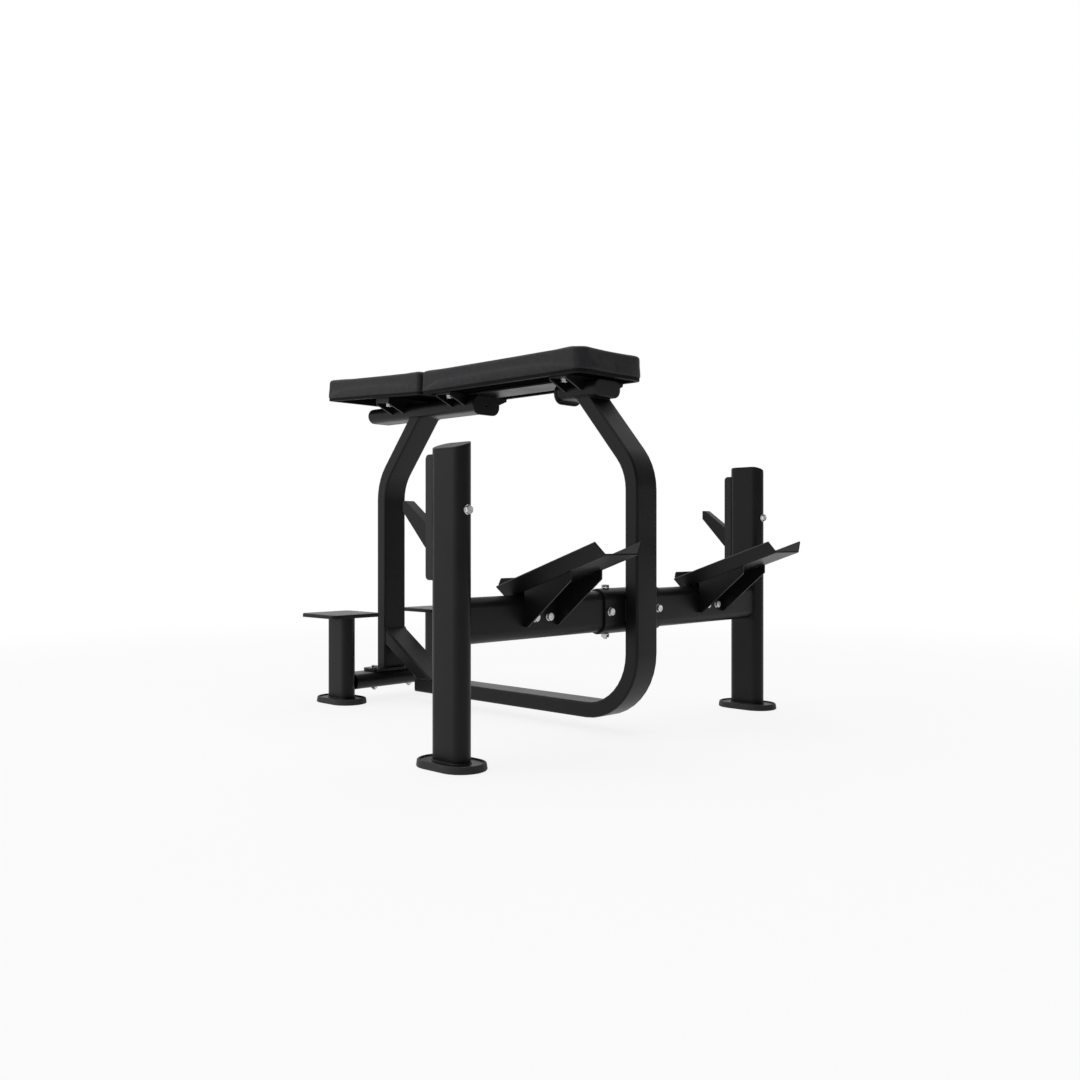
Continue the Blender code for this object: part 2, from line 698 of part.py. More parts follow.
def bend_path(x, z, heading, runs):
    """Stations (x, z, heading) along straight runs and bends in the XZ plane.

    A run is ("go", length) or ("turn", angle, radius), with positive angles to the left."""
    stations = [(x, z, heading)]
    for run in runs:
        if run[0] == "go":
            x += run[1] * math.cos(heading)
            z += run[1] * math.sin(heading)
            stations.append((x, z, heading))
            continue
        angle, radius = run[1:]
        steps = max(2, math.ceil(abs(angle) / BEND_STEP))
        hand = math.copysign(1.0, angle)
        centre_x = x - hand * radius * math.sin(heading)
        centre_z = z + hand * radius * math.cos(heading)
        start = heading
        for i in range(1, steps + 1):
            heading = start + angle * i / steps
            x = centre_x + hand * radius * math.sin(heading)
            z = centre_z - hand * radius * math.cos(heading)
            stations.append((x, z, heading))
    return stations


def box_outline(depth, width, corner):
    """Section of the box tube, with points on its wide sides that let its end follow the rail's round."""
    a = depth / 2
    b = width / 2
    edge = b - corner
    flat = min(OVAL_FLAT, edge - corner)
    middle = (flat + edge) / 2
    side = [-middle, -flat, flat, middle]
    front = [(a, y, 0) for y in side]
    back = [(-a, y, 0) for y in reversed(side)]
    outline = [(-a, -b, corner), (a, -b, corner), *front, (a, b, corner), (-a, b, corner), *back]
    return rounded(outline, BOX_CORNER_STEPS)


def rail_underside(y):
    """Height of the rail's underside at a Y, with the gap taken off."""
    beyond = max(0.0, abs(y) - OVAL_FLAT)
    return RAIL_HEIGHT - math.sqrt((OVAL_RADIUS + GAP) ** 2 - beyond ** 2)


def bent_tube(name, stations, start_x=None, end_level=None):
    """Box tube along stations; it can start on a plane of X and end at a level that varies with Y."""
    outer = box_outline(BOX_DEPTH, BOX_WIDTH, BOX_CORNER)
    inner = box_outline(BOX_DEPTH - 2 * BOX_WALL, BOX_WIDTH - 2 * BOX_WALL, BOX_CORNER - BOX_WALL)

    def ring(outline, i):
        x, z, heading = stations[i]
        along = Vector((math.cos(heading), 0.0, math.sin(heading)))
        side = Vector((-math.sin(heading), 0.0, math.cos(heading)))
        points = [Vector((x, 0.0, z)) + a * side + Vector((0.0, b, 0.0)) for a, b in outline]
        if i == 0 and start_x is not None:
            points = [p + along * (start_x - p.x) / along.x for p in points]
        if i == len(stations) - 1 and end_level is not None:
            points = [p + along * (end_level(p.y) - p.z) / along.z for p in points]
        return points

    order = range(len(stations))
    rings = [ring(outer, i) for i in order] + [ring(inner, i) for i in reversed(order)]
    return loft(name, rings, "black_powder_coat", closed=True)


def make_bench_frame():
    """Bent front tube, rear tube, diagonal brace and the plug in the lower run."""
    lean = RAIL_BOTTOM - KNEE_HEIGHT - KNEE_BEND * math.sin(KNEE_ANGLE)
    lean_run = lean / math.cos(KNEE_ANGLE)
    lower_run = FRAME_TUBE_X - LOWER_BEND - LOWER_TUBE_END
    rise = KNEE_HEIGHT - LOWER_TUBE_HEIGHT - LOWER_BEND
    front_runs = [
        ("go", lower_run),
        ("turn", math.pi / 2, LOWER_BEND),
        ("go", rise),
        ("turn", KNEE_ANGLE, KNEE_BEND),
        ("go", lean_run),
    ]
    front_path = bend_path(LOWER_TUBE_END, LOWER_TUBE_HEIGHT, 0.0, front_runs)
    bent_tube("front_frame_tube", front_path, None, rail_underside)

    rear_start = FLANGE_TOP + GAP
    rear_runs = [("go", KNEE_HEIGHT - rear_start), ("turn", -KNEE_ANGLE, KNEE_BEND), ("go", lean_run)]
    rear_path = bend_path(REAR_TUBE_X, rear_start, math.pi / 2, rear_runs)
    bent_tube("rear_frame_tube", rear_path, None, rail_underside)

    brace_length = BRACE_DROP / math.sin(BRACE_ANGLE)
    brace_path = bend_path(REAR_TUBE_FACE, BRACE_MIDDLE, -BRACE_ANGLE, [("go", brace_length)])
    bent_tube("diagonal_brace", brace_path, REAR_TUBE_FACE, lambda y: LOWER_TUBE_TOP + GAP)

    push_plug("lower_tube_plug", plug_section, BOX_WALL, LOWER_TUBE_END - GAP, -1.0, LOWER_TUBE_HEIGHT)


def push_plug(name, section, wall, seat, outward, z):
    """Plug along X with a skirt inside a tube's wall and a rim that covers the tube's end."""
    skirt = section(wall + PLUG_CLEARANCE)
    rim = section()
    rings = [
        in_yz(skirt, seat - outward * PLUG_DEPTH, 0.0, z),
        in_yz(skirt, seat, 0.0, z),
        in_yz(rim, seat, 0.0, z),
        in_yz(rim, seat + outward * (PLUG_RIM - PLUG_EASE), 0.0, z),
        in_yz(section(PLUG_EASE), seat + outward * PLUG_RIM, 0.0, z),
    ]
    return loft(name, rings, "black_plastic")


def make_rear_end():
    """Steps with their posts and feet, base cross tube, and the bolted flange of the rear tube."""
    outer = oval_section()
    inner = oval_section(OVAL_WALL)
    plate_bottom = STEP_TOP - STEP_PLATE_THICK
    plate = rectangle(STEP_PLATE, STEP_PLATE, STEP_CORNER)
    top = STEP_PLATE - 2 * STEP_EASE
    small = rectangle(top, top, STEP_CORNER - STEP_EASE)
    for side, sign in (("near", -1), ("far", 1)):
        y = sign * STEP_SPACING / 2
        loft(f"{side}_step_post", post_rings(STEP_X, y, plate_bottom - GAP), "black_powder_coat")
        make_foot(f"{side}_step_foot", STEP_X, y)
        rings = [
            in_xy(plate, plate_bottom, STEP_X, y),
            in_xy(plate, STEP_TOP - STEP_EASE, STEP_X, y),
            in_xy(small, STEP_TOP, STEP_X, y),
        ]
        loft(f"{side}_step_plate", rings, "black_powder_coat")

    half = STEP_SPACING / 2 - OVAL_RADIUS - GAP

    def place(outline, y):
        return [(STEP_X + a, y, BASE_TUBE_HEIGHT + b) for a, b in outline]

    cross = tube("base_cross_tube", outer, inner, place, -half, half, "black_powder_coat")
    flange_outline = rectangle(FLANGE_WIDTH, FLANGE_LENGTH, FLANGE_CORNER)
    rings = [in_xy(flange_outline, z, STEP_X) for z in (FLANGE_BOTTOM, FLANGE_TOP)]
    flange = loft("rear_tube_flange", rings, "black_powder_coat")
    grip = FLANGE_THICK + OVAL_SHORT + 3 * GAP
    upward = (0.0, 0.0, 1.0)
    for side, sign in (("near", -1), ("far", 1)):
        seat = Vector((STEP_X, sign * FLANGE_BOLT_Y, FLANGE_TOP + GAP))
        bolt(f"{side}_flange_bolt", seat, upward, grip)
        drill(flange, f"flange_{side}_hole", seat, upward, 2 * grip)
        drill(cross, f"base_tube_{side}_hole", seat, upward, 2 * grip)


def make_rail(name, start, end, plate_at_end):
    """Flat-lying oval rail with an overhanging end plate at one end and a push-in cap at the other."""
    outer = oval_section()
    inner = oval_section(OVAL_WALL)

    def place(outline, x):
        return in_yz(outline, x, 0.0, RAIL_HEIGHT)

    tube(name, outer, inner, place, start, end, "black_powder_coat")
    outward = 1.0 if plate_at_end else -1.0
    plate_seat = (end if plate_at_end else start) + outward * GAP
    cap_seat = (start if plate_at_end else end) - outward * GAP

    height = OVAL_SHORT + END_PLATE_DROP
    outline = rectangle(END_PLATE_WIDTH, height, END_PLATE_CORNER, ROUND_STEPS // 2)
    middle = RAIL_TOP - height / 2
    faces = (plate_seat, plate_seat + outward * END_PLATE_THICK)
    rings = [in_yz(outline, x, 0.0, middle) for x in faces]
    end_plate = loft(f"{name}_end_plate", rings, "black_powder_coat")
    spot = Vector((faces[1], 0.0, middle))
    away = (outward, 0.0, 0.0)
    drill(end_plate, f"{name}_end_plate_hole", spot, away, 2 * END_PLATE_THICK, END_PLATE_HOLE)

    push_plug(f"{name}_cap", oval_section, OVAL_WALL, cap_seat, -outward, RAIL_HEIGHT)


def make_tie_plate():
    """Flat strip under the long pad that bridges the two rails."""
    start = REAR_BRACKET_X + BRACKET_LENGTH / 2 + TIE_CLEARANCE
    end = FRONT_BRACKET_X - BRACKET_LENGTH / 2 - TIE_CLEARANCE
    half = TIE_WIDTH / 2
    outline = [(start, -half), (end, -half), (end, half), (start, half)]
    loft("tie_plate", [in_xy(outline, z) for z in (SHEET_BOTTOM, SHEET_TOP)], "black_powder_coat")


def bracket_flange(top):
    """Outline of a bracket flange across the bench: tapered wings over a notch for the rail."""
    half = BRACKET_WIDTH / 2 - BRACKET_EASE
    notch = arc((OVAL_FLAT, RAIL_HEIGHT), OVAL_RADIUS + GAP, BRACKET_HANG, math.pi / 2, ROUND_STEPS // 2)
    root = (notch[0][0] + BRACKET_SIDE, notch[0][1])
    right = [(half, top), (half, SHEET_TOP - BRACKET_LIP), root] + notch
    left = [(-a, b) for a, b in right[::-1]]
    return right + left


def make_pad_bracket(name, x, board, base):
    """Inverted channel welded over the rail, with two screws up into a pad board.

    Its top follows the pad's underside, whose height at an X is base(x)."""
    half = BRACKET_WIDTH / 2
    rear = x - BRACKET_LENGTH / 2
    front = x + BRACKET_LENGTH / 2
    web_outline = [
        (rear, SHEET_BOTTOM),
        (front, SHEET_BOTTOM),
        (front, base(front) - GAP),
        (rear, base(rear) - GAP),
    ]
    bracket = loft(name, [in_xz(web_outline, e) for e in (-half, half)], "black_powder_coat")
    outline = bracket_flange(SHEET_TOP - BRACKET_EASE)
    for label, start in (("rear", rear + BRACKET_EASE), ("front", front - BRACKET_SIDE - BRACKET_EASE)):
        rings = [in_yz(outline, start), in_yz(outline, start + BRACKET_SIDE)]
        combine(bracket, loft(f"{name}_{label}_flange", rings, "black_powder_coat"), "UNION")

    reach = base(x) - SHEET_BOTTOM + PAD_BOARD - PAD_BOLT_COVER
    downward = (0.0, 0.0, -1.0)
    for label, sign in (("near", -1), ("far", 1)):
        seat = Vector((x, sign * BRACKET_BOLT_Y, SHEET_BOTTOM - GAP))
        screw(f"{name}_{label}_bolt", seat, downward, reach)
        for piece in (bracket, board):
            drill(piece, f"{piece.name}_{name}_{label}_hole", seat, downward, reach + HOLE_CLEARANCE)


def pad_outline(length, front_corner, inset):
    """Outline of a pad from its front edge at X = 0 back along -X, pulled in by an inset all round.

    The sides draw in a little towards their middles, between the corners."""
    back = -length + inset
    front = -inset
    side = PAD_WIDTH / 2 - inset
    round_back = max(PAD_CORNER - inset, CUSHION_LEAST_CORNER)
    round_front = max(front_corner - inset, CUSHION_LEAST_CORNER)
    quarter = math.pi / 2
    places = [
        ((back, round_back), (-side, round_back), 2 * quarter),
        ((front, -round_front), (-side, round_front), 3 * quarter),
        ((front, -round_front), (side, -round_front), 0.0),
        ((back, round_back), (side, -round_back), quarter),
    ]
    corners = []
    for (x, step_x), (y, step_y), start in places:
        centre = (x + step_x, y + step_y)
        corners.append(arc(centre, abs(step_x), start, start + quarter, CORNER_STEPS))
    outline = []
    for i, corner in enumerate(corners):
        outline += corner
        begin = Vector(corner[-1])
        span = Vector(corners[(i + 1) % 4][0]) - begin
        inward = Vector((-span.y, span.x)).normalized()
        for j in range(1, CUSHION_SIDE_POINTS + 1):
            share = j / (CUSHION_SIDE_POINTS + 1)
            drawn = CUSHION_DRAW_IN * math.sin(math.pi * share) ** 2
            outline.append(tuple(begin + span * share + inward * drawn))
    return outline


def cushion_levels():
    """Insets and heights of a cushion's rings: pocket for the board, side, rounded edge and crown."""
    pocket = BOARD_INSET - GAP
    shoulder = PAD_THICK - CUSHION_CROWN - CUSHION_EDGE
    levels = [
        (pocket, PAD_BOARD + GAP),
        (pocket, PAD_BAND),
        (CUSHION_DRAW_IN, PAD_BAND),
        (0.0, PAD_BAND + CUSHION_EDGE),
        (0.0, shoulder),
    ]
    for i in range(1, CUSHION_EDGE_STEPS + 1):
        angle = math.pi / 2 * i / CUSHION_EDGE_STEPS
        levels.append((CUSHION_EDGE * (1 - math.cos(angle)), shoulder + CUSHION_EDGE * math.sin(angle)))
    reach = PAD_WIDTH / 2 - 2 * CUSHION_EDGE
    for i in range(1, CUSHION_CROWN_STEPS + 1):
        share = i / CUSHION_CROWN_STEPS
        rise = CUSHION_CROWN * math.sin(math.pi / 2 * share)
        levels.append((CUSHION_EDGE + reach * share, PAD_THICK - CUSHION_CROWN + rise))
    return levels


def make_pad(name, length, front_corner, matrix):
    """Board and cushion of a pad, in a frame at the middle of its lower front edge."""
    board_outline = pad_outline(length, front_corner, BOARD_INSET)
    rings = [[matrix @ Vector(p) for p in in_xy(board_outline, z)] for z in (0.0, PAD_BOARD)]
    board = loft(f"{name}_board", rings, "pad_base")
    rings = []
    for inset, z in cushion_levels():
        outline = pad_outline(length, front_corner, inset)
        rings.append([matrix @ Vector(p) for p in in_xy(outline, z)])
    loft(f"{name}_cushion", rings, "black_vinyl")
    return board


def make_bench_top():
    """Rails, tie plate, pads and their brackets."""
    make_rail("rear_rail", REAR_RAIL_START, REAR_RAIL_END, True)
    make_rail("front_rail", FRONT_RAIL_START, FRONT_RAIL_END, False)
    make_tie_plate()
    level = Matrix.Translation((LONG_PAD_END, 0.0, PAD_BASE))
    long_board = make_pad("long_pad", LONG_PAD_LENGTH, LONG_PAD_FRONT_CORNER, level)
    hinge = Matrix.Translation((SHORT_PAD_END, 0.0, SHORT_PAD_BASE))
    tilted = hinge @ Matrix.Rotation(SHORT_PAD_TILT, 4, "Y")
    short_board = make_pad("short_pad", SHORT_PAD_LENGTH, PAD_CORNER, tilted)

    def long_base(x):
        return PAD_BASE

    def short_base(x):
        return SHORT_PAD_BASE + (SHORT_PAD_END - x) * math.tan(SHORT_PAD_TILT)

    make_pad_bracket("short_pad_bracket", SHORT_BRACKET_X, short_board, short_base)
    make_pad_bracket("long_pad_rear_bracket", REAR_BRACKET_X, long_board, long_base)
    make_pad_bracket("long_pad_front_bracket", FRONT_BRACKET_X, long_board, long_base)


def main():
    global PARENT
    clear_scene()
    make_materials()
    lean = (PAD_BAND + CUSHION_EDGE) * math.sin(SHORT_PAD_TILT)
    rear_end = SHORT_PAD_END - SHORT_PAD_LENGTH * math.cos(SHORT_PAD_TILT) + lean
    PARENT = bpy.data.objects.new("bench_assembly", None)
    bpy.context.scene.collection.objects.link(PARENT)
    PARENT.location.x = -(rear_end + tray_end()) / 2

    make_upright("near", -1)
    make_upright("far", 1)
    beam = make_beam()
    make_saddle(beam)
    make_tray("near", -1, beam)
    make_tray("far", 1, beam)
    make_bench_frame()
    make_rear_end()
    make_bench_top()


main()
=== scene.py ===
"""Looks of a prone row bench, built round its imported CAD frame.

Steel pieces keep their CAD shape, with eased edges.
Fasteners, cushions, hems and welds are pieces of their own."""

import json
import math

import bmesh
import bpy
from mathutils import Matrix, Vector


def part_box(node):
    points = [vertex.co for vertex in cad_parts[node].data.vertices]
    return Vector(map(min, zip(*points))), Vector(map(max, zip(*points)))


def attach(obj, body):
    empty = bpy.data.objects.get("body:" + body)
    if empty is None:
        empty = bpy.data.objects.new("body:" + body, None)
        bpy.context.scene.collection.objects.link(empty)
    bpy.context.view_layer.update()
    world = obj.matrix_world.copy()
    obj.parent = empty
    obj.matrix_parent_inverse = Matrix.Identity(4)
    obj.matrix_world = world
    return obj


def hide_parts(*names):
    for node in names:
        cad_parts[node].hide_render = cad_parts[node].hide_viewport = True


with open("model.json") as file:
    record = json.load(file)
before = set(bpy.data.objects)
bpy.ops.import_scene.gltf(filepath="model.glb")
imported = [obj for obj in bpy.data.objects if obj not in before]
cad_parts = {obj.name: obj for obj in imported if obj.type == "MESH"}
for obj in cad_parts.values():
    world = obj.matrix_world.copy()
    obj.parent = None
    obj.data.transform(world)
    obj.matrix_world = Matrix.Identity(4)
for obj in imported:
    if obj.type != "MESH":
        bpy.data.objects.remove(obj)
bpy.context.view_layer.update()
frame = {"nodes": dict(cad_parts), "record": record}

SCENE = bpy.context.scene
BODY = "root"
SLOTS = {row["node"]: row["material_slot"] for row in frame["record"]["subparts"]}

# Places that the CAD source works out, in metres from the uprights' middle
GAP = 0.0003
UPRIGHTS = sum(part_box("near_upright"), Vector()).x / 2
UPRIGHT_Y = -sum(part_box("near_upright"), Vector()).y / 2
STEPS_X = sum(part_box("near_step_post"), Vector()).x / 2
STEP_Y = -sum(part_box("near_step_post"), Vector()).y / 2
OVAL_LONG = 0.100
OVAL_SHORT = 0.045
OVAL_FLAT = (OVAL_LONG - OVAL_SHORT) / 2
BOX_DEPTH = 0.040
BOX_WIDTH = 0.080
BOX_CORNER = 0.006
BASE_PLATE_THICK = 0.008

# Camera of the photograph, from the uprights' middle
CAMERA_PLACE = (1.694, -2.0557, 0.481)
CAMERA_TURN = math.radians(43.9)
SENSOR_WIDTH = 36.0
CAMERA_LENS = SENSOR_WIDTH * 1064 / 1080


# Materials

class Recipe:
    """A material's node tree with short calls for adding and joining nodes."""

    def __init__(self, name):
        self.material = bpy.data.materials.new(name)
        self.material.use_nodes = True
        self.tree = self.material.node_tree
        self.shader = self.tree.nodes["Principled BSDF"]
        self.place = self.node("ShaderNodeTexCoord").outputs["Object"]

    def node(self, kind, **settings):
        made = self.tree.nodes.new(kind)
        for key, value in settings.items():
            setattr(made, key, value)
        return made

    def join(self, source, target):
        self.tree.links.new(source, target)

    def set(self, **values):
        for key, value in values.items():
            self.shader.inputs[key.replace("_", " ")].default_value = value

    def stretched(self, scale):
        mapping = self.node("ShaderNodeMapping")
        mapping.inputs["Scale"].default_value = scale
        self.join(self.place, mapping.inputs["Vector"])
        return mapping.outputs["Vector"]

    def noise(self, scale, detail=3.0, roughness=0.5, place=None):
        made = self.node("ShaderNodeTexNoise")
        made.inputs["Scale"].default_value = scale
        made.inputs["Detail"].default_value = detail
        made.inputs["Roughness"].default_value = roughness
        self.join(place or self.place, made.inputs["Vector"])
        return made.outputs["Fac"]

    def cells(self, scale, feature="F1", place=None):
        made = self.node("ShaderNodeTexVoronoi", feature=feature)
        made.inputs["Scale"].default_value = scale
        self.join(place or self.place, made.inputs["Vector"])
        return made.outputs["Distance"]

    def spread(self, value, low, high, start=0.3, end=0.7):
        made = self.node("ShaderNodeMapRange")
        made.inputs["From Min"].default_value = start
        made.inputs["From Max"].default_value = end
        made.inputs["To Min"].default_value = low
        made.inputs["To Max"].default_value = high
        self.join(value, made.inputs["Value"])
        return made.outputs["Result"]

    def maths(self, operation, first, second):
        made = self.node("ShaderNodeMath", operation=operation)
        for i, value in enumerate((first, second)):
            if isinstance(value, (int, float)):
                made.inputs[i].default_value = value
            else:
                self.join(value, made.inputs[i])
        return made.outputs["Value"]

    def colour_between(self, value, dark, light, start=0.3, end=0.7):
        ramp = self.node("ShaderNodeValToRGB")
        ramp.color_ramp.elements[0].position = start
        ramp.color_ramp.elements[0].color = (*dark, 1.0)
        ramp.color_ramp.elements[1].position = end
        ramp.color_ramp.elements[1].color = (*light, 1.0)
        self.join(value, ramp.inputs["Fac"])
        self.join(ramp.outputs["Color"], self.shader.inputs["Base Color"])

    def rough(self, value, low, high):
        self.join(self.spread(value, low, high), self.shader.inputs["Roughness"])

    def bump(self, heights):
        """Chains bumps of (height, depth in metres), the first one outermost."""
        normal = None
        for height, depth in heights:
            made = self.node("ShaderNodeBump")
            made.inputs["Distance"].default_value = depth
            self.join(height, made.inputs["Height"])
            if normal:
                self.join(normal, made.inputs["Normal"])
            normal = made.outputs["Normal"]
        self.join(normal, self.shader.inputs["Normal"])


def powder_coat():
    """Satin black powder coat with a fine orange peel and faint cloudiness."""
    recipe = Recipe("satin_powder_coat")
    cloud = recipe.noise(14.0, 4.0)
    peel = recipe.noise(420.0, 2.0)
    speck = recipe.noise(1500.0, 2.0)
    recipe.colour_between(cloud, (0.0058, 0.0058, 0.0061), (0.0086, 0.0086, 0.0090))
    large = recipe.maths("MULTIPLY", cloud, 0.6)
    small = recipe.maths("MULTIPLY", speck, 0.4)
    recipe.rough(recipe.maths("ADD", large, small), 0.34, 0.44)
    recipe.bump([(speck, 0.00004), (peel, 0.00012)])
    recipe.set(Specular_IOR_Level=0.195)
    return recipe.material


def rubber():
    """Moulded rubber: dull, with a fine skin and a trace of dust."""
    recipe = Recipe("moulded_rubber")
    dust = recipe.noise(30.0, 5.0, 0.6)
    skin = recipe.noise(900.0, 2.0)
    recipe.colour_between(dust, (0.0250, 0.0250, 0.0250), (0.0350, 0.0346, 0.0340))
    recipe.rough(dust, 0.58, 0.72)
    recipe.bump([(skin, 0.00008), (dust, 0.00010)])
    recipe.set(Specular_IOR_Level=0.30)
    return recipe.material


def plastic():
    """Moulded plastic with a fine spark-eroded texture."""
    recipe = Recipe("textured_plastic")
    cloud = recipe.noise(22.0, 3.0)
    texture = recipe.cells(1300.0)
    recipe.colour_between(cloud, (0.0095, 0.0095, 0.0100), (0.0135, 0.0135, 0.0140))
    recipe.rough(cloud, 0.40, 0.50)
    recipe.bump([(texture, 0.00006)])
    recipe.set(Specular_IOR_Level=0.30)
    return recipe.material


def vinyl(name, dark, light, shine):
    """Upholstery vinyl: pebbled leather grain with soft shine in its creases."""
    recipe = Recipe(name)
    drift = recipe.noise(60.0, 2.0)
    bent = recipe.node("ShaderNodeVectorMath", operation="MULTIPLY_ADD")
    wander = recipe.node("ShaderNodeTexNoise")
    wander.inputs["Scale"].default_value = 260.0
    recipe.join(recipe.place, wander.inputs["Vector"])
    recipe.join(wander.outputs["Color"], bent.inputs[0])
    bent.inputs[1].default_value = (0.0016, 0.0016, 0.0016)
    recipe.join(recipe.place, bent.inputs[2])
    pebbles = recipe.cells(560.0, "SMOOTH_F1", bent.outputs["Vector"])
    creases = recipe.cells(210.0, "DISTANCE_TO_EDGE", bent.outputs["Vector"])
    crease_depth = recipe.spread(creases, 0.0, 1.0, 0.0, 0.12)
    recipe.colour_between(drift, dark, light)
    recipe.rough(pebbles, 0.46, 0.60)
    recipe.bump([(crease_depth, 0.00016), (pebbles, 0.00030)])
    recipe.set(Specular_IOR_Level=shine, Sheen_Weight=0.04, Sheen_Roughness=0.5)
    return recipe.material


def backing():
    """Non-woven backing cloth on a pad board: matted fibres, no shine."""
    recipe = Recipe("backing_cloth")
    fibres = recipe.noise(1.0, 4.0, 0.7, recipe.stretched((160.0, 900.0, 400.0)))
    crossing = recipe.noise(1.0, 4.0, 0.7, recipe.stretched((900.0, 160.0, 400.0)))
    mat = recipe.maths("MAXIMUM", fibres, crossing)
    recipe.colour_between(mat, (0.0026, 0.0026, 0.0028), (0.0056, 0.0056, 0.0060), 0.4, 0.75)
    recipe.rough(mat, 0.80, 0.92)
    recipe.bump([(mat, 0.00020)])
    recipe.set(Specular_IOR_Level=0.0)
    return recipe.material


def zinc():
    """Bright zinc plate with faint passivation colour and turning marks."""
    recipe = Recipe("bright_zinc")
    film = recipe.noise(160.0, 3.0)
    marks = recipe.noise(1.0, 2.0, 0.5, recipe.stretched((700.0, 700.0, 4200.0)))
    recipe.colour_between(film, (0.60, 0.60, 0.62), (0.74, 0.73, 0.70))
    recipe.rough(marks, 0.22, 0.38)
    recipe.bump([(marks, 0.00003)])
    recipe.set(Metallic=1.0)
    return recipe.material


MATERIALS = {
    "powder_coat": powder_coat(),
    "rubber": rubber(),
    "plastic": plastic(),
    "vinyl": vinyl("grained_vinyl", (0.0195, 0.0191, 0.0214), (0.0250, 0.0244, 0.0272), 0.19),
    "board": backing(),
    "zinc": zinc(),
}
# The hem's vinyl is a darker, nearly shineless copy of the cushion vinyl: painted shade for the recess
# under the cushion's edge.
HEM_VINYL_PAINTED_SHADE = vinyl("hem_vinyl_painted_shade", (0.0085, 0.0083, 0.0092), (0.0115, 0.0112, 0.0122), 0.03)


# CAD nodes: materials, smooth rounds and eased edges

EASED = {
    "powder_coat": 0.0011,
    "rubber": 0.0014,
    "plastic": 0.0012,
    "board": 0.0008,
}
EASED_MORE = {
    "near_bar_guard": 0.0028,
    "far_bar_guard": 0.0028,
    "near_bar_hook": 0.0018,
    "far_bar_hook": 0.0018,
}


def ease_edges(node, obj):
    """Joins a node's split triangles, rounds its sharp edges and shades its curves smooth."""
    mesh = obj.data
    normals = mesh.attributes.get("custom_normal")
    if normals:
        mesh.attributes.remove(normals)
    mesh.shade_smooth()
    weld = obj.modifiers.new("weld", "WELD")
    weld.merge_threshold = 0.00002
    flats = obj.modifiers.new("flats", "DECIMATE")
    flats.decimate_type = "DISSOLVE"
    flats.angle_limit = math.radians(0.6)
    bevel = obj.modifiers.new("edges", "BEVEL")
    bevel.limit_method = "ANGLE"
    bevel.angle_limit = math.radians(38.0)
    bevel.width = EASED_MORE.get(node, EASED[SLOTS[node]])
    bevel.segments = 2
    weighted = obj.modifiers.new("normals", "WEIGHTED_NORMAL")
    weighted.keep_sharp = True


def dress_nodes():
    for node, obj in frame["nodes"].items():
        slot = SLOTS[node]
        obj.data.materials.clear()
        obj.data.materials.append(MATERIALS[slot])
        if slot in EASED:
            ease_edges(node, obj)


# Building blocks for new pieces

def new_piece(name, points, faces, slot, smooth_angle=40.0):
    """A mesh piece on the bench's one body, with its faces pointing out."""
    mesh = bpy.data.meshes.new(name)
    mesh.from_pydata([tuple(p) for p in points], [], faces)
    work = bmesh.new()
    work.from_mesh(mesh)
    bmesh.ops.recalc_face_normals(work, faces=work.faces)
    work.to_mesh(mesh)
    work.free()
    mesh.shade_smooth()
    mesh.set_sharp_from_angle(angle=math.radians(smooth_angle))
    mesh.materials.append(MATERIALS[slot])
    obj = bpy.data.objects.new(name, mesh)
    SCENE.collection.objects.link(obj)
    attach(obj, BODY)
    return obj


def skin(rings, closed=False):
    """Points and faces of a surface through rings of points, capped at both ends unless closed."""
    count = len(rings[0])
    points = [p for ring in rings for p in ring]
    faces = []
    last = len(rings) if closed else len(rings) - 1
    for i in range(last):
        low = i * count
        high = ((i + 1) % len(rings)) * count
        for j in range(count):
            k = (j + 1) % count
            faces.append((low + j, low + k, high + k, high + j))
    if not closed:
        faces.append(tuple(range(count)))
        faces.append(tuple(range(len(points) - count, len(points))))
    return points, faces


def arc(centre, radius, start, end, steps):
    turn = (end - start) / steps
    angles = [start + turn * i for i in range(steps + 1)]
    return [(centre[0] + radius * math.cos(a), centre[1] + radius * math.sin(a)) for a in angles]


# Fasteners

HEX_RADIUS = 0.0098
HEX_HEIGHT = 0.0064
HEX_CROWN = 0.0082
WASHER_RADIUS = 0.0105
WASHER_THICK = 0.002
WASHER_EASE = 0.0004
SHANK_RADIUS = 0.005
THREAD_DEPTH = 0.0006
THREAD_PITCH = 0.0015
BOLT_TAIL = 0.004
BOLT_POINTS = 48
HEAD_DISH = 0.0005
DISH_FLOOR = HEX_CROWN * 0.55
DISH_RIM = HEX_CROWN * 0.62
CHAMFER = math.radians(30.0)


def round_ring(radius, z):
    turn = 2 * math.pi / BOLT_POINTS
    return [(radius * math.cos(turn * i), radius * math.sin(turn * i), z) for i in range(BOLT_POINTS)]


def hex_ring(z, chamfer_from=None, outward=1.0):
    """Hexagon ring at a level; with a chamfer, its corners drop below the level as on a turned head."""
    turn = 2 * math.pi / BOLT_POINTS
    flat = HEX_RADIUS * math.cos(math.pi / 6)
    ring = []
    for i in range(BOLT_POINTS):
        angle = turn * i
        from_flat = (angle + math.pi / 6) % (math.pi / 3) - math.pi / 6
        radius = flat / math.cos(from_flat)
        drop = 0.0
        if chamfer_from is not None:
            drop = max(0.0, radius - chamfer_from) * math.tan(CHAMFER)
        ring.append((radius * math.cos(angle), radius * math.sin(angle), z - outward * drop))
    return ring


def washer_rings(low, high):
    return [
        round_ring(WASHER_RADIUS - WASHER_EASE, high),
        round_ring(WASHER_RADIUS, high - WASHER_EASE),
        round_ring(WASHER_RADIUS, low + WASHER_EASE),
        round_ring(WASHER_RADIUS - WASHER_EASE, low),
    ]


